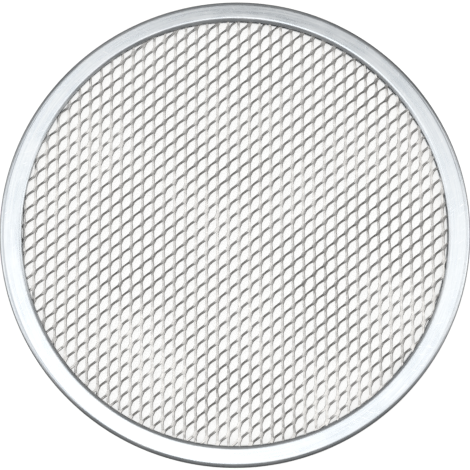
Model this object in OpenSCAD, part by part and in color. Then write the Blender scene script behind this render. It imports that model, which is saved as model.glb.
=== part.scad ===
/* [Rim] */
// Outside diameter over the folded rim, in mm
outer_d = 254; // [180:1:270]
// Width of the folded rim, seen from above
rim_w = 11.7; // [9.5:0.1:16]
// Thickness of the aluminium strip that the rim is folded from
strip_t = 0.9; // [0.6:0.1:1.4]
// Outside radius of the bend that turns each inner edge towards the mesh
lip_r = 1.9; // [1.5:0.1:2.6]
// Angle through which each inner edge is turned
lip_turn = 48; // [20:1:60]
// Room left between each lip and the mesh
lip_gap = 0.05; // [0.02:0.01:0.2]

/* [Mesh] */
// Pitch of the diamonds from knuckle to knuckle, the long way
long_way = 13.9; // [12.4:0.1:24]
// Pitch of the diamonds from knuckle to knuckle, the short way
short_way = 6.38; // [5.8:0.02:12]
// Thickness of the mesh, measured upright through a strand
strand_t = 1.2; // [0.9:0.1:2]
// Width of a strand, measured across its top
strand_w = 0.75; // [0.6:0.05:1.4]
// Lean of each strand from upright, where the sheet was cut and stretched
strand_lean = 30; // [0:1:40]
// Height by which each row of diamonds steps over the next
row_step = 0.6; // [0.2:0.1:0.8]
// Turn of the mesh in the rim, from the X axis to the long way
mesh_turn = 245.4; // [0:0.2:359.8]
// Distance of the middle knuckle from the centre, along the long way
knuckle_x = -3.1; // [-7:0.1:7]
// Distance of the middle knuckle from the centre, along the short way
knuckle_y = 1.1; // [-3.2:0.1:3.2]
// Depth to which the edge of the mesh reaches into the fold
grip = 4.5; // [3:0.1:5]

/* [Hidden] */
$fn = 180;

// The lips hold the mesh between them, so the height of the rim follows the mesh.
mesh_h = strand_t + row_step;
lip_mid = lip_r - strip_t / 2;
lip_drop = lip_mid * (1 - cos(lip_turn));
rim_h = mesh_h + 2 * (lip_gap + lip_drop + strip_t);
outer_r = outer_d / 2;
inner_r = outer_r - rim_w;
fold_r = rim_h / 2;
fold_x = outer_r - fold_r;
lip_x = inner_r + strip_t / 2 + lip_mid * sin(lip_turn);
mesh_r = inner_r + grip;

// Each diamond opening is the pitch less the strands around it.
strand_angle = atan(short_way / long_way);
open_short = short_way - strand_w / cos(strand_angle);
open_long = open_short / tan(strand_angle);
sheet_side = 2 * (mesh_r + long_way);
rows = ceil((mesh_r + abs(knuckle_y)) / (short_way / 2));
columns = ceil((mesh_r + abs(knuckle_x)) / long_way + 0.5);
steps = ceil(mesh_r / short_way) + 2;

// The step lies just past the knuckle's middle, clear of the openings' corners.
step_y = knuckle_y + strand_w / 4;

// The upper half of the strip's section: the flat flange, with its edge curled down to the mesh.
module flange() {
    translate([lip_x, fold_r - strip_t])
        square([fold_x - lip_x, strip_t]);
    translate([lip_x, fold_r - lip_r]) {
        intersection() {
            difference() {
                circle(r = lip_r);
                circle(r = lip_r - strip_t);
            }
            polygon([
                [0, 0],
                [0, 2 * lip_r],
                [-2 * lip_r * tan(lip_turn), 2 * lip_r]
            ]);
        }
        translate([-lip_mid * sin(lip_turn), lip_mid * cos(lip_turn)])
            circle(r = strip_t / 2);
    }
}

// The round bend that joins the two flanges along the outer edge.
module bend() {
    translate([fold_x, 0])
        intersection() {
            difference() {
                circle(r = fold_r);
                circle(r = fold_r - strip_t);
            }
            translate([0, -fold_r])
                square([fold_r, 2 * fold_r]);
        }
}

module rim() {
    color("silver")
        translate([0, 0, fold_r])
            rotate_extrude() {
                flange();
                mirror([0, 1])
                    flange();
                bend();
            }
}

// One point on the edge of a row, moved along by the lean of the strands.
function edge_point(row, z) = [step_y + row * short_way + z * tan(strand_lean), z];

function stepped_face(z) = [
    for (row = [-steps : steps])
        for (rise = [-row_step / 2, row_step / 2])
            edge_point(row, z + rise)
];

function reversed(points) = [
    for (i = [len(points) - 1 : -1 : 0])
        points[i]
];

// The sheet before it is pierced: each row of diamonds falls a little, then the next one steps up.
module stepped_sheet() {
    rotate([90, 0, 90])
        linear_extrude(sheet_side, center = true)
            polygon(concat(
                stepped_face(-strand_t / 2),
                reversed(stepped_face(strand_t / 2))
            ));
}

// One opening, pierced along the lean so that the strands round it lean too.
module diamond() {
    rotate([-strand_lean, 0, 0])
        linear_extrude(3 * mesh_h, center = true)
            polygon([
                [-open_long / 2, 0],
                [0, -open_short / 2 * cos(strand_lean)],
                [open_long / 2, 0],
                [0, open_short / 2 * cos(strand_lean)]
            ]);
}

module diamonds() {
    for (row = [-rows : rows])
        for (column = [-columns : columns]) {
            shift = row % 2 == 0 ? 0.5 : 0;
            x = knuckle_x + (column + shift) * long_way;
            y = knuckle_y + row * short_way / 2;
            if (norm([x, y]) < mesh_r)
                translate([x, y, 0])
                    diamond();
        }
}

// The round blank, cut along the lean as well, so that the cut leaves no loose crumb of a strand.
module blank() {
    rotate([-strand_lean, 0, 0])
        linear_extrude(2 * mesh_r + mesh_h, center = true)
            polygon([
                for (i = [0 : $fn - 1])
                    mesh_r * [cos(360 * i / $fn), sin(360 * i / $fn) * cos(strand_lean)]
            ]);
}

module mesh() {
    color("gainsboro")
        translate([0, 0, fold_r])
            rotate([0, 0, mesh_turn])
                difference() {
                    intersection() {
                        blank();
                        stepped_sheet();
                    }
                    diamonds();
                }
}

rim();
mesh();
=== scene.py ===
"""Baking screen: a round of raised expanded aluminium, held in a folded aluminium rim.

Run as a script, it loads the screen's two solids, lays the stretched mesh and the rolled rim over
them, and sets a pale stage. In the sidebar the same steps are buttons with their sizes.
"""

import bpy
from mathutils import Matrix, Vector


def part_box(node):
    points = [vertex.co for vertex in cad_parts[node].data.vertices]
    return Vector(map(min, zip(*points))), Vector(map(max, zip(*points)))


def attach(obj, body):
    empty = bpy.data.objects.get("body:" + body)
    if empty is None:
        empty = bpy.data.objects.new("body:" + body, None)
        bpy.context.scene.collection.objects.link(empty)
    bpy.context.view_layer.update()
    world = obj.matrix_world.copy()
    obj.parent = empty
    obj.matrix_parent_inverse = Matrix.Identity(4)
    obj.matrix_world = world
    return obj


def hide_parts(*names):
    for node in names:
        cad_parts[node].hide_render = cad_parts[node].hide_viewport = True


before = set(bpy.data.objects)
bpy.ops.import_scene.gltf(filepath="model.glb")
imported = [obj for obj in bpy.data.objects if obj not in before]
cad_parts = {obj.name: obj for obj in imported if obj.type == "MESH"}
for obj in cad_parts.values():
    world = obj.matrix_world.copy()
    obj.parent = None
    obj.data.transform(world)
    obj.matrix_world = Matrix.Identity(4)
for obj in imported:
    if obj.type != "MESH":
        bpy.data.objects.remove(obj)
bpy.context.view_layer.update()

import math

import bpy
from bpy.props import FloatProperty, FloatVectorProperty, IntProperty, PointerProperty
from mathutils import Matrix, Vector, noise

bl_info = {
    "name": "Baking screen",
    "version": (1, 0, 0),
    "blender": (4, 5, 0),
    "location": "3D View > Sidebar > Baking screen",
    "description": "Builds a round screen of raised expanded metal in a folded rim",
    "category": "Add Mesh",
}

MM = 0.001
RIM_LOW, RIM_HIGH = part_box("rim")
RIM_HEIGHT = RIM_HIGH.z - RIM_LOW.z
MID_PLANE = (RIM_HIGH.z + RIM_LOW.z) / 2
OUTER_RADIUS = min(-RIM_LOW.x, RIM_HIGH.x, -RIM_LOW.y, RIM_HIGH.y)
MESH_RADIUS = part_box("mesh")[1].x

# Steps through the noise from knuckle to knuckle and from strand to strand. None is a whole number,
# where the noise is always nought.
KNUCKLE_ROW, KNUCKLE_PLACE, KNUCKLE_AXIS = 0.83, 0.71, 5.1
STRAND_ROW, STRAND_PLACE, STRAND_WAY = 1.37, 0.93, 3.1

# Levels at which the noise is read for the patches of tilt, and for each strand's twist and settling.
PATCH_LEVEL, TWIST_LEVEL, SETTLE_LEVEL = 0.5, 0.5, 20.5

# Long and short waves round the rim: steps through the noise to a radian, and the level they read.
SWAY_WAVES, SWAY_LEVEL = 2.3, 3.7
RIPPLE_WAVES, RIPPLE_LEVEL = 9.0, 8.1

# The mesh's materials, in the order that its piece has them.
ROLLED, CUT = 0, 1

# Edges of a strand's section, each numbered by the corner it starts from.
SECTION_CORNERS = 6
UPPER_FACE, HIGH_EDGE, LOWER_FACE, LOW_EDGE = 0, 2, 3, 4

# The soft lights: place, the point it faces, width and height, all in metres, and radiance.
SOFT_LIGHTS = {
    "overhead": ((-0.05, -0.09, 1.6), (-0.05, -0.09, 0), 2.8, 1.02, 0.93),
    "overhead_core": ((-0.18, -0.22, 1.5), (-0.18, -0.22, 0), 0.42, 0.48, 0.72),
    "overhead_right": ((0.52, 0.14, 1.45), (0.52, 0.14, 0), 0.5, 0.4, 0.22),
    "back_left": ((-0.775, 0.6, 1.6), (-0.775, 0.6, 0), 1.35, 0.36, 1.08),
    "back_right": ((0.57, 0.56, 1.6), (0.57, 0.56, 0), 0.86, 0.28, 0.7),
    "left_side": ((-1.8, -0.1, 0.85), (0, 0, 0), 1.5, 1.5, 0.78),
    "right_side": ((2.0, 0.1, 1.0), (0, 0, 0.2), 1.4, 1.7, 0.95),
}


def linear(hex_colour):
    """The linear colour, with alpha, of an sRGB hex value such as #C8CCD0."""
    channels = [int(hex_colour[i:i + 2], 16) / 255 for i in (1, 3, 5)]
    return [c / 12.92 if c <= 0.04045 else ((c + 0.055) / 1.055) ** 2.4 for c in channels] + [1.0]


def smooth(x):
    """Eases x from 0 to 1, level at both ends."""
    x = min(1.0, max(0.0, x))
    return x * x * (3 - 2 * x)


def length(name, description, millimetres):
    """A size that the sidebar shows in the scene's unit."""
    return FloatProperty(
        name=name, description=description, default=millimetres * MM, unit="LENGTH", precision=5)


def angle(name, description, degrees):
    """An angle that the sidebar shows in degrees."""
    return FloatProperty(name=name, description=description, default=math.radians(degrees), subtype="ANGLE")


def share(name, description, default, **limits):
    """A plain number, mostly a share of a whole."""
    return FloatProperty(name=name, description=description, default=default, precision=3, **limits)


def colour(name, description, hex_colour):
    """A colour that the sidebar shows as a swatch."""
    return FloatVectorProperty(
        name=name, description=description, default=linear(hex_colour), size=4, subtype="COLOR", min=0, max=1)


class MeshSizes(bpy.types.PropertyGroup):
    """Sizes and colours of the expanded mesh."""

    long_way: length("Long way", "Pitch from knuckle to knuckle, the long way", 13.885)
    short_way: length("Short way", "Pitch from knuckle to knuckle, the short way", 6.379)
    turn: angle("Turn", "Angle from the X axis to the long way", 245.4)
    middle_long: length("Middle, long way", "Place of the middle knuckle along the long way", -3.1)
    middle_short: length("Middle, short way", "Place of the middle knuckle along the short way", 1.1)
    strand_width: length("Strand width", "Width of the strip of sheet between two cuts", 1.27)
    sheet_thickness: length("Sheet thickness", "Thickness of the sheet that was cut and stretched", 0.55)
    bond: length("Bond", "Length over which two strands stay joined at a knuckle", 2.5)
    high_tilt: angle("High tilt", "Tilt of a strand where it leaves the high side of a knuckle", 36)
    low_tilt: angle("Low tilt", "Tilt of a strand where it comes to the low side of a knuckle", 7)
    leave: share("Leave", "Share of the way to the next knuckle in which a strand bends off", 0.22)
    arrive: share("Arrive", "Share of the way to the next knuckle in which a strand bends back", 0.05)
    twist: angle("Twist", "Extra twist of a strand, greatest half way to where it settles", 9)
    lean: angle("Lean", "Twist that the strands of one slant have more, and those of the other less", 9)
    twist_wander: angle("Twist wander", "Angle by which that twist differs from strand to strand", 16)
    settle: share("Settle", "Share of a strand after which it lies at its low tilt", 0.9, min=0.3, max=1)
    settle_wander: share("Settle wander", "Share by which that differs from strand to strand", 0.3)
    late: share("Late", "Share by which the strands of one slant settle later, and the others sooner", 0.12)
    edge_round: length("Edge round", "Size of the rounded upper edges of a strand", 0.08)
    wander: length("Wander", "Distance that a knuckle may lie from its even place", 0.09)
    tilt_wander: angle("Tilt wander", "Angle by which a knuckle's tilt may differ from that of its patch", 6)
    sway: angle("Sway", "Angle by which the tilt changes from patch to patch of the sheet", 27)
    sway_reach: length("Reach of the sway", "Distance over which the tilt of the sheet changes", 32)
    depth: length("Depth in the rim", "Distance from the cut edge of the mesh to its solid's edge", 0.9)
    press: share("Press", "Share by which the rim presses the strands flatter", 0.56)
    press_before: length("Press before the rim", "Distance from the rim's inner edge to where it starts", 2.2)
    press_reach: length("Reach of the press", "Distance over which the strands get flatter", 1.7)
    steps: IntProperty(name="Steps", description="Steps along each strand", default=6, min=3, max=8)
    seed: IntProperty(name="Seed", description="Seed of the uneven stretch", default=18)
    face_colour: colour("Face colour", "Lighter colour of the sheet's rolled faces", "#EDEBE8")
    face_shade: colour("Face shade", "Darker colour of the sheet's rolled faces", "#E2E0DD")
    cut_colour: colour("Cut colour", "Lighter colour of the sheared edges", "#C2BFBB")
    cut_shade: colour("Cut shade", "Darker colour of the sheared edges", "#ABA8A4")


class RimSizes(bpy.types.PropertyGroup):
    """Sizes and colours of the folded rim."""

    width: length("Width", "Width of the rim, seen from above", 11.7)
    strip: length("Strip", "Thickness of the strip that the rim is folded from", 0.5)
    bend_reach: length("Bend reach", "Distance over which the outer bend rounds off", 2.45)
    crease: length("Crease", "Depth of the crease that the folding tool left along the outer bend", 0.2)
    crease_place: length("Place of the crease", "Distance from the outline to the middle of the crease", 2.15)
    crease_width: length("Crease width", "Distance from its middle to where it is a third as deep", 0.34)
    crease_turn: angle("Turn of the crease", "Angle from the X axis to a deepest place, one of two", 182)
    crease_reach: angle("Reach of the crease", "Angle from a deepest place to where it ends", 62)
    lip_radius: length("Lip radius", "Radius at the middle of the strip where the inner edge turns", 1.9)
    lip_turn: angle("Lip turn", "Angle through which the inner edge is turned", 50)
    lip_fall: length("Lip fall", "Straight part of the turned edge", 0.6)
    wave: length("Wave", "Depth of the waves that rolling left in the flanges", 0.07)
    uneven: length("Uneven width", "Amount by which the width of the fold varies to either side", 0.35)
    flat: length("Flat place", "Depth to which the outline is flattened at one place", 0.7)
    flat_turn: angle("Turn of the flat place", "Angle from the X axis to the middle of the flat place", 118)
    flat_reach: angle("Reach of the flat place", "Angle from its middle to its end", 55)
    wide_radius: length("Wide lip radius", "Lip radius where the turned edge is widest", 2.6)
    wide_lip_turn: angle("Wide lip turn", "Lip turn where the turned edge is widest", 34)
    wide_fall: length("Wide lip fall", "Lip fall where the turned edge is widest", 1.15)
    wide_turn: angle("Turn of the wide part", "Angle from the X axis to where the turned edge is widest", 76)
    wide_reach: angle("Reach of the wide part", "Angle from its middle to its end", 65)
    lower_reach: length("Lower edge", "Distance by which the lower edge comes further in on the +X side", 0.4)
    sides: IntProperty(name="Sides", description="Steps round the rim", default=480, min=90, max=720)
    face_colour: colour("Face colour", "Lighter colour of the strip", "#F5F8FA")
    face_shade: colour("Face shade", "Darker colour of the strip", "#DAE0E5")
    rub_colour: colour("Rub colour", "Colour of the rubs that handling has left", "#FBFCFD")
    # Painted shade: the darker colour laid along the outer bend's crease, where shade falls in it.
    crease_shade_colour: colour("Track colour", "Colour of the dull track of the folding tool", "#C4CAD0")


class StageSizes(bpy.types.PropertyGroup):
    """Camera and floor."""

    distance: length("Distance", "From the camera to the middle of the screen", 762)
    tilt: angle("Tilt", "Lean of the view from straight above", 8.25)
    lens: FloatProperty(
        name="Lens", description="Focal length on a 36 mm sensor", default=108.15, subtype="DISTANCE_CAMERA")
    rise: share("Rise", "Share of the picture that the middle lies above its centre", 0.01177)
    floor_colour: colour("Floor colour", "Colour of the floor's own light", "#FCFCFB")
    floor_base: colour("Floor base", "Colour of the floor where a light falls on it", "#B4B4B4")
    floor_glow: share("Floor glow", "Strength of the floor's own light", 0.69)


def add_node(tree, kind, inputs=None, **settings):
    """Adds a node with its settings, and sets or links its inputs by name or number."""
    node = tree.nodes.new(kind)
    for name, value in settings.items():
        setattr(node, name, value)
    for key, value in (inputs or {}).items():
        if isinstance(value, bpy.types.NodeSocket):
            tree.links.new(value, node.inputs[key])
        else:
            node.inputs[key].default_value = value
    return node


def new_material(name):
    """A material with an empty tree of nodes."""
    material = bpy.data.materials.new(name)
    material.use_nodes = True
    material.node_tree.nodes.clear()
    return material, material.node_tree


def rolled_strip(sizes):
    """Cold rolled aluminium strip, bent round: a soft satin shine with fine lines along the strip.

    Handling has left soft clouds and a few short, light rubs across the lines. Along the outer bend
    runs a band of painted shade, a darker colour laid where shade falls in the crease.
    """
    # Rolling lines are about 0.05 mm apart, too fine to show, so they are drawn nine times coarser.
    line_pitch, line_length = 0.45 * MM, 16 * MM
    # Softer bands lie where the rolls pressed harder, about six of them on the rim's flat part.
    band_pitch, band_length = 1.6 * MM, 60 * MM
    # The clouds are as wide as a fingertip, and the rubs are what the next screen in a stack leaves.
    cloud = 14 * MM
    rub_width, rub_length, rub_turn = 0.5 * MM, 5 * MM, 50.0
    # Painted shade in the crease of the outer bend: its distance in from the outline and half width, the X at
    # which it starts and is full, and its strength on the left and the right.
    crease_shade_place, crease_shade_half = 2.05 * MM, 0.4 * MM
    crease_shade_start, crease_shade_full = 60 * MM, 115 * MM
    left_crease_shade, right_crease_shade = 0.8, 0.35

    material, tree = new_material("rolled_aluminium_strip")
    place = add_node(tree, "ShaderNodeTexCoord").outputs["Object"]
    xyz = add_node(tree, "ShaderNodeSeparateXYZ", {0: place}).outputs
    turn = add_node(tree, "ShaderNodeMath", {0: xyz["Y"], 1: xyz["X"]}, operation="ARCTAN2").outputs[0]
    flat = add_node(tree, "ShaderNodeCombineXYZ", {"X": xyz["X"], "Y": xyz["Y"]}).outputs[0]
    radius = add_node(tree, "ShaderNodeVectorMath", {0: flat}, operation="LENGTH").outputs["Value"]
    arc = add_node(tree, "ShaderNodeMath", {0: turn, 1: OUTER_RADIUS}, operation="MULTIPLY").outputs[0]
    strip = add_node(tree, "ShaderNodeCombineXYZ", {"X": arc, "Y": radius, "Z": xyz["Z"]}).outputs[0]

    def stretched(along, across, detail, degrees=0.0):
        """Noise that is drawn out along the strip, or turned from it."""
        fitted = add_node(tree, "ShaderNodeMapping", {
            "Vector": strip, "Rotation": (0, 0, math.radians(degrees))}, vector_type="TEXTURE").outputs[0]
        scale = (1 / along, 1 / across, 1 / across)
        spread = add_node(tree, "ShaderNodeVectorMath", {
            0: fitted, 1: scale}, operation="MULTIPLY").outputs[0]
        return add_node(tree, "ShaderNodeTexNoise", {
            "Vector": spread, "Scale": 1.0, "Detail": detail}).outputs["Fac"]

    lines = stretched(line_length, line_pitch, 2.0)
    bands = stretched(band_length, band_pitch, 1.0)
    clouds = add_node(tree, "ShaderNodeTexNoise", {
        "Vector": place, "Scale": 1 / cloud, "Detail": 3.0}).outputs["Fac"]
    streaks = add_node(tree, "ShaderNodeMath", {0: lines, 1: bands}, operation="ADD").outputs[0]
    both = add_node(tree, "ShaderNodeMath", {0: streaks, 1: clouds}, operation="ADD").outputs[0]
    rough = add_node(tree, "ShaderNodeMapRange", {
        "Value": both, "From Min": 1.1, "From Max": 1.9, "To Min": 0.24, "To Max": 0.36}).outputs[0]
    lightness = add_node(tree, "ShaderNodeMapRange", {
        "Value": both, "From Min": 1.15, "From Max": 1.85}).outputs[0]
    metal = add_node(tree, "ShaderNodeMix", {
        "Factor": lightness, "A": sizes.face_shade, "B": sizes.face_colour,
    }, data_type="RGBA").outputs["Result"]

    # Only the highest peaks of this noise become rubs.
    peaks = stretched(rub_length, rub_width, 0.0, rub_turn)
    rubs = add_node(tree, "ShaderNodeMapRange", {
        "Value": peaks, "From Min": 0.73, "From Max": 0.82}).outputs[0]
    rubbed = add_node(tree, "ShaderNodeMix", {
        "Factor": rubs, "A": metal, "B": sizes.rub_colour}, data_type="RGBA").outputs["Result"]

    # The painted shade in the crease is strongest on the left, and fainter on the right.
    # Painted shade: a band at the crease's radius, weighted by side, mixes the colour towards the darker
    # crease shade colour.
    track = add_node(tree, "ShaderNodeMath", {
        0: radius, 1: OUTER_RADIUS - crease_shade_place, 2: crease_shade_half}, operation="COMPARE").outputs[0]
    left, right = (
        add_node(tree, "ShaderNodeMapRange", {
            "Value": xyz["X"], "From Min": side * crease_shade_start, "From Max": side * crease_shade_full,
            "To Max": strength}).outputs[0]
        for side, strength in ((-1, left_crease_shade), (1, right_crease_shade))
    )
    crease_shade_sides = add_node(tree, "ShaderNodeMath", {0: left, 1: right}, operation="ADD").outputs[0]
    dull = add_node(tree, "ShaderNodeMath", {0: track, 1: crease_shade_sides}, operation="MULTIPLY").outputs[0]
    crease_shaded = add_node(tree, "ShaderNodeMix", {
        "Factor": dull, "A": rubbed, "B": sizes.crease_shade_colour}, data_type="RGBA").outputs["Result"]

    relief = add_node(tree, "ShaderNodeBump", {
        "Height": streaks, "Strength": 0.3, "Distance": 0.004 * MM}).outputs[0]
    shader = add_node(tree, "ShaderNodeBsdfPrincipled", {
        "Base Color": crease_shaded, "Metallic": 1.0, "Roughness": rough, "Normal": relief})
    add_node(tree, "ShaderNodeOutputMaterial", {"Surface": shader.outputs[0]})
    return material


def rolled_faces(sizes):
    """Mill finish aluminium sheet: the faces keep a dull shine, a little cloudy where they stretched."""
    # Stretching roughens the sheet in grains of about 0.1 mm, drawn six times coarser so that they show.
    grain = 0.6 * MM
    material, tree = new_material("mill_finish_aluminium")
    place = add_node(tree, "ShaderNodeTexCoord").outputs["Object"]
    clouds = add_node(tree, "ShaderNodeTexNoise", {
        "Vector": place, "Scale": 1 / grain, "Detail": 3.0}).outputs["Fac"]
    metal = add_node(tree, "ShaderNodeMix", {
        "Factor": clouds, "A": sizes.face_shade, "B": sizes.face_colour}, data_type="RGBA").outputs["Result"]
    rough = add_node(tree, "ShaderNodeMapRange", {
        "Value": clouds, "From Min": 0.3, "From Max": 0.7, "To Min": 0.3, "To Max": 0.44}).outputs[0]
    relief = add_node(tree, "ShaderNodeBump", {
        "Height": clouds, "Strength": 0.3, "Distance": 0.01 * MM}).outputs[0]
    shader = add_node(tree, "ShaderNodeBsdfPrincipled", {
        "Base Color": metal, "Metallic": 1.0, "Roughness": rough, "Normal": relief})
    add_node(tree, "ShaderNodeOutputMaterial", {"Surface": shader.outputs[0]})
    return material


def sheared_edges(sizes):
    """Sheared aluminium: the cut edges of the strands are torn fine, so they are duller than the faces."""
    # The tears are about 0.05 mm apart, and are drawn five times coarser so that they show.
    tear = 0.25 * MM
    material, tree = new_material("sheared_aluminium")
    place = add_node(tree, "ShaderNodeTexCoord").outputs["Object"]
    tears = add_node(tree, "ShaderNodeTexNoise", {
        "Vector": place, "Scale": 1 / tear, "Detail": 2.0}).outputs["Fac"]
    metal = add_node(tree, "ShaderNodeMix", {
        "Factor": tears, "A": sizes.cut_shade, "B": sizes.cut_colour}, data_type="RGBA").outputs["Result"]
    relief = add_node(tree, "ShaderNodeBump", {
        "Height": tears, "Strength": 0.5, "Distance": 0.02 * MM}).outputs[0]
    shader = add_node(tree, "ShaderNodeBsdfPrincipled", {
        "Base Color": metal, "Metallic": 1.0, "Roughness": 0.52, "Normal": relief})
    add_node(tree, "ShaderNodeOutputMaterial", {"Surface": shader.outputs[0]})
    return material


def new_piece(name, points, faces, materials, face_materials, sharp_angle):
    """An object made of points and faces, shaded smooth but for its sharp edges."""
    mesh = bpy.data.meshes.new(name)
    mesh.from_pydata(points, [], faces)
    for material in materials:
        mesh.materials.append(material)
    mesh.polygons.foreach_set("material_index", face_materials)
    mesh.polygons.foreach_set("use_smooth", [True] * len(faces))
    mesh.set_sharp_from_angle(angle=sharp_angle)
    if mesh.validate():
        raise RuntimeError(name + " had faces that Blender had to mend")
    piece = bpy.data.objects.new(name, mesh)
    bpy.context.scene.collection.objects.link(piece)
    return piece


class Station:
    """One cross-section of a strand: its centre, the way across it and the way out of its upper face.

    At a knuckle it also has a seam, which is the knuckle's row, its place and which end of the bond
    this is, and the side of the knuckle that the strand lies on.
    """

    def __init__(self, centre, across, up, seam=None, seam_side=0):
        self.centre, self.across, self.up = centre, across, up
        self.seam, self.seam_side = seam, seam_side


class ExpandedMesh:
    """Works out the strands of raised expanded metal, in its own axes: X the long way, Y the short way.

    The knuckles lie in rows. Each gap between two rows is crossed to and fro by one strand, which is
    joined at each knuckle to the strand of the next gap. The sheet is tilted at the knuckles, so a
    strand leaves a knuckle on its high side and comes to the next one on its low side.
    """

    def __init__(self, sizes, rim_width):
        self.sizes = sizes
        self.press_start = OUTER_RADIUS - rim_width - sizes.press_before
        self.knuckles = {}
        self.points = []
        self.faces = []
        self.face_materials = []
        self.seam_points = {}

    def knuckle(self, row, place):
        """Centre of a knuckle and its extra tilt. Its place counts half pitches, odd in odd rows."""
        key = (row, place)
        if key not in self.knuckles:
            s = self.sizes
            even = Vector((s.middle_long + place * s.long_way / 2, s.middle_short + row * s.short_way / 2, 0))
            off = [
                noise.noise(Vector((row * KNUCKLE_ROW, place * KNUCKLE_PLACE, KNUCKLE_AXIS * axis + s.seed)))
                for axis in range(3)
            ]
            patch = noise.noise(even / s.sway_reach + Vector((0, 0, s.seed + PATCH_LEVEL)))
            # A knuckle wanders half as far up or down as it does along the sheet.
            centre = even + s.wander * Vector((off[0], off[1], 0.5 * off[2]))
            self.knuckles[key] = (centre, s.sway * patch + s.tilt_wander * off[2])
        return self.knuckles[key]

    def bond_stations(self, row, place, side):
        """The two stations of the strand on one side of a knuckle: +1 its high side, -1 its low side."""
        s = self.sizes
        centre, extra = self.knuckle(row, place)
        tilt = extra + (s.high_tilt if side > 0 else s.low_tilt)
        across = Vector((0, math.cos(tilt), math.sin(tilt)))
        up = Vector((0, -math.sin(tilt), math.cos(tilt)))
        return [
            Station(
                centre + Vector((end * s.bond / 2, 0, 0)) + across * (side * s.strand_width / 2),
                across, up, (row, place, end), side,
            )
            for end in (-1, 1)
        ]

    def strand_stations(self, high, low, way):
        """The stations between two knuckles, from the high side of one to the low side of the other.

        Way is +1 or -1, as the strand runs up or down the long way from its high end. The strands of
        one slant have +1, and those of the other have -1.
        """
        s = self.sizes
        start = self.bond_stations(*high, 1)[(way + 1) // 2].centre
        end = self.bond_stations(*low, -1)[(1 - way) // 2].centre
        reach = abs(end.x - start.x)
        first = start + Vector((way * reach * s.leave, 0, 0))
        second = end - Vector((way * reach * s.arrive, 0, 0))
        high_tilt = s.high_tilt + self.knuckle(*high)[1]
        low_tilt = s.low_tilt + self.knuckle(*low)[1]
        own_twist, own_settle = (
            noise.noise(Vector((high[0] * STRAND_ROW, high[1] * STRAND_PLACE, STRAND_WAY * way + layer)))
            for layer in (TWIST_LEVEL, SETTLE_LEVEL)
        )
        twist = s.twist - s.lean * way + s.twist_wander * own_twist
        settle = min(1.0, s.settle * (1 - s.late * way + s.settle_wander * own_settle))
        found = []
        for i in range(1, s.steps):
            u = i / s.steps
            v = 1 - u
            centre = v**3 * start + 3 * v * v * u * first + 3 * v * u * u * second + u**3 * end
            along = 3 * (v * v * (first - start) + 2 * v * u * (second - first) + u * u * (end - second))
            along = along.normalized() * way
            level = Vector((-along.y, along.x, 0)).normalized()
            upright = along.cross(level)
            settled = min(1.0, u / settle)
            tilt = high_tilt + (low_tilt - high_tilt) * smooth(settled) + twist * math.sin(math.pi * settled)
            across = level * math.cos(tilt) + upright * math.sin(tilt)
            up = upright * math.cos(tilt) - level * math.sin(tilt)
            found.append(Station(centre, across, up))
        return found

    def gap_stations(self, row):
        """All stations of the strand between one row of knuckles and the next, along the long way."""
        s = self.sizes
        reach = math.ceil((MESH_RADIUS + abs(s.middle_long)) / (s.long_way / 2)) + 1
        found = []
        for place in range(-reach, reach):
            here_high = (place + row) % 2 == 0
            if here_high:
                found += self.bond_stations(row, place, 1)
                found += self.strand_stations((row, place), (row + 1, place + 1), 1)
            else:
                found += self.bond_stations(row + 1, place, -1)
                found += self.strand_stations((row, place + 1), (row + 1, place), -1)[::-1]
        return found

    def runs(self, row):
        """The stretches of a gap's strand that lie inside the mesh's cut edge."""
        edge = MESH_RADIUS - self.sizes.depth
        found, run = [], []
        for station in self.gap_stations(row):
            if station.centre.to_2d().length < edge:
                run.append(station)
            else:
                found.append(run)
                run = []
        return [r for r in found + [run] if len(r) > 1]

    def pressed(self, point):
        """The point, a little nearer to the middle plane where the rim grips the strands."""
        press = smooth((point.to_2d().length - self.press_start) / self.sizes.press_reach)
        return Vector((point.x, point.y, point.z * (1 - self.sizes.press * press)))

    def add_point(self, point):
        """Keeps a point where the rim leaves it, and gives its number."""
        self.points.append(self.pressed(point))
        return len(self.points) - 1

    def section(self, station, joined):
        """The six corners of a strand's section. A joined side shares its corners with the next strand."""
        s = self.sizes
        half, thick, cut = s.strand_width / 2, s.sheet_thickness / 2, s.edge_round
        centre, across, up = station.centre, station.across, station.up

        def corner(side, height, inward=0.0):
            return centre + across * side * (half - inward) + up * height

        def side_corners(side):
            """Corners of one side, from its upper face down. A side at a seam has no rounded edge."""
            if station.seam_side != -side:
                return [
                    self.add_point(corner(side, thick, cut)),
                    self.add_point(corner(side, thick - cut)),
                    self.add_point(corner(side, -thick)),
                ]
            key = (station.seam, None if joined else station.seam_side)
            if key not in self.seam_points:
                self.seam_points[key] = (
                    self.add_point(corner(side, thick)), self.add_point(corner(side, -thick)))
            top, bottom = self.seam_points[key]
            return [top, top, bottom]

        high, low = side_corners(1), side_corners(-1)
        return [low[0], high[0], high[1], high[2], low[2], low[1]]

    def add_face(self, corners, material):
        """Adds a face without its repeated corners, if three are left."""
        kept = [c for i, c in enumerate(corners) if c != corners[i - 1]]
        if len(kept) > 2:
            self.faces.append(kept)
            self.face_materials.append(material)

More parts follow.
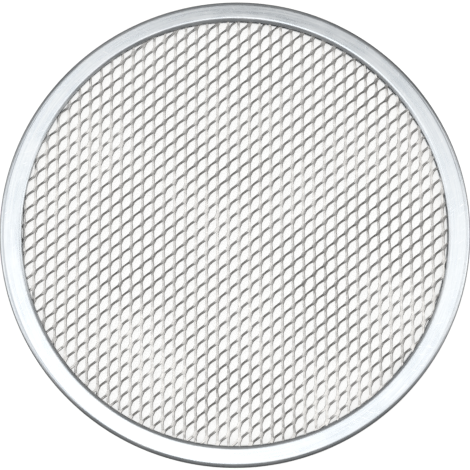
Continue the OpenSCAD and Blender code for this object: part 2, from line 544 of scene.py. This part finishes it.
    def add_run(self, run, joined):
        """Skins one stretch of strand: rolled faces above and below, sheared edges at its sides and ends."""
        sections = [self.section(station, station.seam and station.seam[:2] in joined) for station in run]
        self.add_face(sections[0], CUT)
        for here, there, near, far in zip(run, run[1:], sections, sections[1:]):
            same_bond = here.seam and there.seam and here.seam[:2] == there.seam[:2]
            hidden = None
            if same_bond and here.seam[:2] in joined:
                hidden = LOW_EDGE if here.seam_side > 0 else HIGH_EDGE
            for k in range(SECTION_CORNERS):
                if k == hidden:
                    continue
                n = (k + 1) % SECTION_CORNERS
                material = ROLLED if k in (UPPER_FACE, LOWER_FACE) else CUT
                self.add_face([near[k], far[k], far[n], near[n]], material)
        self.add_face(sections[-1][::-1], CUT)

    def build(self):
        """Makes all points and faces, turned and lifted to the screen's own place."""
        s = self.sizes
        rows = math.ceil((MESH_RADIUS + abs(s.middle_short)) / (s.short_way / 2)) + 1
        gaps = [self.runs(row) for row in range(-rows, rows)]
        # A knuckle is joined where all four stations of its two strands are there.
        whole = {}
        for runs in gaps:
            for run in runs:
                for station in run:
                    if station.seam:
                        whole[station.seam[:2]] = whole.get(station.seam[:2], 0) + 1
        joined = {knuckle for knuckle, count in whole.items() if count == 4}
        for runs in gaps:
            for run in runs:
                self.add_run(run, joined)
        place = Matrix.Translation((0, 0, MID_PLANE)) @ Matrix.Rotation(s.turn, 4, "Z")
        self.points = [place @ p for p in self.points]


class BAKING_SCREEN_OT_mesh(bpy.types.Operator):
    """Lay the stretched strands of the expanded mesh over its solid"""

    bl_idname = "baking_screen.mesh"
    bl_label = "Expanded mesh"

    def execute(self, context):
        sizes = context.scene.screen_mesh
        built = ExpandedMesh(sizes, context.scene.screen_rim.width)
        built.build()
        piece = new_piece(
            "expanded_mesh", built.points, built.faces,
            [rolled_faces(sizes), sheared_edges(sizes)], built.face_materials,
            sharp_angle=math.radians(38),
        )
        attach(piece, "root")
        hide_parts("mesh")
        return {"FINISHED"}


def flange_line(sizes, wide):
    """Middle line of the turned inner edge, as (radius, height, turn). Wide is 1 where it is widest."""
    half = sizes.strip / 2
    height = RIM_HEIGHT / 2 - half
    steps = 8
    radius = sizes.lip_radius + (sizes.wide_radius - sizes.lip_radius) * wide
    full_turn = sizes.lip_turn + (sizes.wide_lip_turn - sizes.lip_turn) * wide
    fall = sizes.lip_fall + (sizes.wide_fall - sizes.lip_fall) * wide
    line = []
    for i in range(steps + 1):
        turn = full_turn * i / steps
        line.append((-radius * math.sin(turn), radius * (math.cos(turn) - 1), turn))
    x, z, turn = line[-1]
    line.append((x - fall * math.cos(turn), z - fall * math.sin(turn), turn))
    shift = OUTER_RADIUS - sizes.width + half - line[-1][0]
    return [(x + shift, z + height, turn) for x, z, turn in line]


def rim_section(sizes, wide):
    """Closed outline of the folded strip, as (radius, height above the middle), anticlockwise."""
    half = sizes.strip / 2
    tip_steps, inside_steps, outside_steps = 6, 12, 64
    bend_x = OUTER_RADIUS - sizes.bend_reach
    line = flange_line(sizes, wide)
    # The flat part has its points close together next to the bend, where the crease runs out.
    flat_shares = (0.0, 0.03, 0.07, 0.15, 0.35, 0.7)
    line = [(bend_x + (line[0][0] - bend_x) * along, line[0][1], 0.0) for along in flat_shares] + line

    def offset(side):
        return [(x - side * half * math.sin(turn), z + side * half * math.cos(turn)) for x, z, turn in line]

    x, z, turn = line[-1]
    tip = []
    for i in range(1, tip_steps):
        swing = turn + math.pi * i / tip_steps
        tip.append((x - half * math.sin(swing), z + half * math.cos(swing)))
    upper = offset(1) + tip + offset(-1)[::-1]
    lower = [(x, -z) for x, z in upper[::-1]]

    def bend(inset, start, stop, steps):
        reach, rise = sizes.bend_reach - inset, RIM_HEIGHT / 2 - inset
        return [
            (bend_x + reach * math.cos(a), rise * math.sin(a))
            for a in (start + (stop - start) * i / steps for i in range(1, steps))
        ]

    inside = bend(sizes.strip, math.pi / 2, -math.pi / 2, inside_steps)
    outside = bend(0.0, -math.pi / 2, math.pi / 2, outside_steps)
    return upper + inside + lower + outside


def nearness(turn, middle, reach, repeat=2 * math.pi):
    """Eases from 1 at the middle to 0 at the reach on either side, and again after each repeat."""
    away = abs(math.remainder(turn - middle, repeat))
    return smooth(1 - away / reach)


def rim_ring(sizes, turn):
    """The points of the rim's section at that turn, with all that rolling and folding did to it."""
    bend_x = OUTER_RADIUS - sizes.bend_reach
    inner_radius = OUTER_RADIUS - sizes.width
    flange_level = RIM_HEIGHT / 4
    outward = Vector((math.cos(turn), math.sin(turn), 0))
    sway = noise.noise(outward * SWAY_WAVES + Vector((0, 0, SWAY_LEVEL)))
    ripple = noise.noise(outward * RIPPLE_WAVES + Vector((0, 0, RIPPLE_LEVEL)))
    # Mostly the long waves set how deep a flange dips, and the short ones a little.
    waves = 0.5 + 0.5 * sway + 0.25 * ripple
    widening = sizes.uneven * math.cos(2 * turn)
    flattening = sizes.flat * nearness(turn, sizes.flat_turn, sizes.flat_reach)
    crease = sizes.crease * nearness(turn, sizes.crease_turn, sizes.crease_reach, math.pi)
    lower = sizes.lower_reach * (0.5 + 0.5 * math.cos(turn))
    points = []
    for x, z in rim_section(sizes, nearness(turn, sizes.wide_turn, sizes.wide_reach)):
        inward = smooth((bend_x - x) / (bend_x - inner_radius))
        dip = sizes.wave * inward * waves
        if abs(z) > flange_level:
            dip += crease * math.exp(-((OUTER_RADIUS - x - sizes.crease_place) / sizes.crease_width) ** 2)
        height = z - math.copysign(dip, z)
        x -= (widening + (lower if z < 0 else 0)) * inward + flattening * (1 - inward)
        points.append(outward * x + Vector((0, 0, MID_PLANE + height)))
    return points


class BAKING_SCREEN_OT_rim(bpy.types.Operator):
    """Roll the folded rim round the mesh, with the slight waves that rolling leaves"""

    bl_idname = "baking_screen.rim"
    bl_label = "Folded rim"

    def execute(self, context):
        sizes = context.scene.screen_rim
        rings = [rim_ring(sizes, 2 * math.pi * i / sizes.sides) for i in range(sizes.sides)]
        count = len(rings[0])
        faces = []
        for i in range(sizes.sides):
            here, there = i * count, (i + 1) % sizes.sides * count
            for k in range(count):
                n = (k + 1) % count
                faces.append((here + k, here + n, there + n, there + k))
        piece = new_piece(
            "folded_rim", [point for ring in rings for point in ring], faces,
            [rolled_strip(sizes)], [0] * len(faces),
            sharp_angle=math.radians(40),
        )
        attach(piece, "root")
        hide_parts("rim")
        return {"FINISHED"}


def soft_light(name, place, aim, width, height, radiance):
    """A soft box: an even white rectangle of that radiance, seen only by what it lights."""
    light = bpy.data.lights.new(name, "AREA")
    light.shape = "RECTANGLE"
    light.size, light.size_y = width, height
    light.energy = math.pi * width * height * radiance
    lamp = bpy.data.objects.new(name, light)
    lamp.location = place
    lamp.rotation_mode = "QUATERNION"
    lamp.rotation_quaternion = (Vector(aim) - Vector(place)).to_track_quat("-Z", "Y")
    lamp.visible_camera = False
    bpy.context.scene.collection.objects.link(lamp)


def room_light():
    """The room beyond the lights: grey, lighter at the back left, darker low down, lightest at the sides."""
    world = bpy.data.worlds.new("room")
    bpy.context.scene.world = world
    world.use_nodes = True
    tree = world.node_tree
    tree.nodes.clear()
    way = add_node(tree, "ShaderNodeTexCoord").outputs["Generated"]
    xyz = add_node(tree, "ShaderNodeSeparateXYZ", {0: way}).outputs
    back_left = add_node(tree, "ShaderNodeVectorMath", {
        0: way, 1: (-0.5, 1, 0)}, operation="DOT_PRODUCT").outputs["Value"]
    back = add_node(tree, "ShaderNodeMapRange", {
        "Value": back_left, "From Min": 0.6, "From Max": 0.9, "To Min": 0.22, "To Max": 0.31}).outputs[0]
    low = add_node(tree, "ShaderNodeMapRange", {
        "Value": xyz["Z"], "From Min": -0.3, "From Max": 0.4, "To Min": 0.4, "To Max": 1.0}).outputs[0]
    aside = add_node(tree, "ShaderNodeMath", {0: xyz["X"]}, operation="ABSOLUTE").outputs[0]
    sides = add_node(tree, "ShaderNodeMapRange", {
        "Value": aside, "From Min": 0.75, "From Max": 0.98, "To Min": 0.0, "To Max": 0.36}).outputs[0]
    strength = add_node(tree, "ShaderNodeMath", {
        0: back, 1: low, 2: sides}, operation="MULTIPLY_ADD").outputs[0]
    light = add_node(tree, "ShaderNodeBackground", {"Color": linear("#FFFFFF"), "Strength": strength})
    add_node(tree, "ShaderNodeOutputWorld", {"Surface": light.outputs[0]})


def pale_floor(sizes):
    """A white sweep that glows evenly, as a light table does. The metal doesn't mirror it."""
    material, tree = new_material("lit_white_floor")
    shader = add_node(tree, "ShaderNodeBsdfPrincipled", {
        "Base Color": sizes.floor_base, "Roughness": 0.9, "Specular IOR Level": 0.0,
        "Emission Color": sizes.floor_colour, "Emission Strength": sizes.floor_glow})
    add_node(tree, "ShaderNodeOutputMaterial", {"Surface": shader.outputs[0]})

    middle_radius, flat_radius, bend_radius, wall_top = 0.4, 3.0, 3.0, 9.0
    steps, sides = 8, 48
    profile = [(middle_radius, 0.0), (flat_radius, 0.0)]
    for i in range(1, steps + 1):
        bend = math.pi / 2 * i / steps
        profile.append((flat_radius + bend_radius * math.sin(bend), bend_radius * (1 - math.cos(bend))))
    profile.append((flat_radius + bend_radius, wall_top))
    points = [(0, 0, 0)]
    faces = []
    for radius, height in profile:
        points += [
            (radius * math.cos(2 * math.pi * i / sides), radius * math.sin(2 * math.pi * i / sides), height)
            for i in range(sides)
        ]
    for i in range(sides):
        n = (i + 1) % sides
        faces.append((0, 1 + i, 1 + n))
        for ring in range(len(profile) - 1):
            here, there = 1 + ring * sides, 1 + (ring + 1) * sides
            faces.append((here + i, there + i, there + n, here + n))
    floor = new_piece("floor", points, faces, [material], [0] * len(faces), sharp_angle=math.radians(60))
    floor.visible_glossy = False


def camera_above(sizes):
    """The camera, leaning a little from straight above towards the front."""
    data = bpy.data.cameras.new("camera")
    data.lens = sizes.lens
    data.sensor_width = 36
    data.shift_y = -sizes.rise
    data.clip_start, data.clip_end = 0.01, 50
    camera = bpy.data.objects.new("camera", data)
    back = Vector((0, -math.sin(sizes.tilt), math.cos(sizes.tilt)))
    camera.location = Vector((0, 0, MID_PLANE)) + back * sizes.distance
    camera.rotation_mode = "QUATERNION"
    camera.rotation_quaternion = (-back).to_track_quat("-Z", "Y")
    bpy.context.scene.collection.objects.link(camera)
    bpy.context.scene.camera = camera


class BAKING_SCREEN_OT_stage(bpy.types.Operator):
    """Set the pale floor, the soft lights and the camera"""

    bl_idname = "baking_screen.stage"
    bl_label = "Stage"

    def execute(self, context):
        sizes = context.scene.screen_stage
        # Plain colours keep the white floor white.
        context.scene.view_settings.view_transform = "Standard"
        pale_floor(sizes)
        room_light()
        for name, settings in SOFT_LIGHTS.items():
            soft_light(name, *settings)
        camera_above(sizes)
        return {"FINISHED"}


class BAKING_SCREEN_PT_sidebar(bpy.types.Panel):
    """Lists the steps of the screen with their sizes"""

    bl_idname = "BAKING_SCREEN_PT_sidebar"
    bl_label = "Baking screen"
    bl_space_type = "VIEW_3D"
    bl_region_type = "UI"
    bl_category = "Baking screen"

    def draw(self, context):
        for group, step in STEPS:
            box = self.layout.box()
            sizes = getattr(context.scene, group)
            for name in sizes.__annotations__:
                box.prop(sizes, name)
            box.operator(step.bl_idname)


GROUPS = {"screen_rim": RimSizes, "screen_mesh": MeshSizes, "screen_stage": StageSizes}
STEPS = [
    ("screen_rim", BAKING_SCREEN_OT_rim),
    ("screen_mesh", BAKING_SCREEN_OT_mesh),
    ("screen_stage", BAKING_SCREEN_OT_stage),
]
CLASSES = [*GROUPS.values(), *(step for _, step in STEPS), BAKING_SCREEN_PT_sidebar]


def register():
    for cls in CLASSES:
        bpy.utils.register_class(cls)
    for name, group in GROUPS.items():
        setattr(bpy.types.Scene, name, PointerProperty(type=group))


def unregister():
    for name in GROUPS:
        delattr(bpy.types.Scene, name)
    for cls in reversed(CLASSES):
        bpy.utils.unregister_class(cls)


def main():
    register()
    bpy.ops.baking_screen.rim()
    bpy.ops.baking_screen.mesh()
    bpy.ops.baking_screen.stage()


if __name__ == "__main__":
    main()
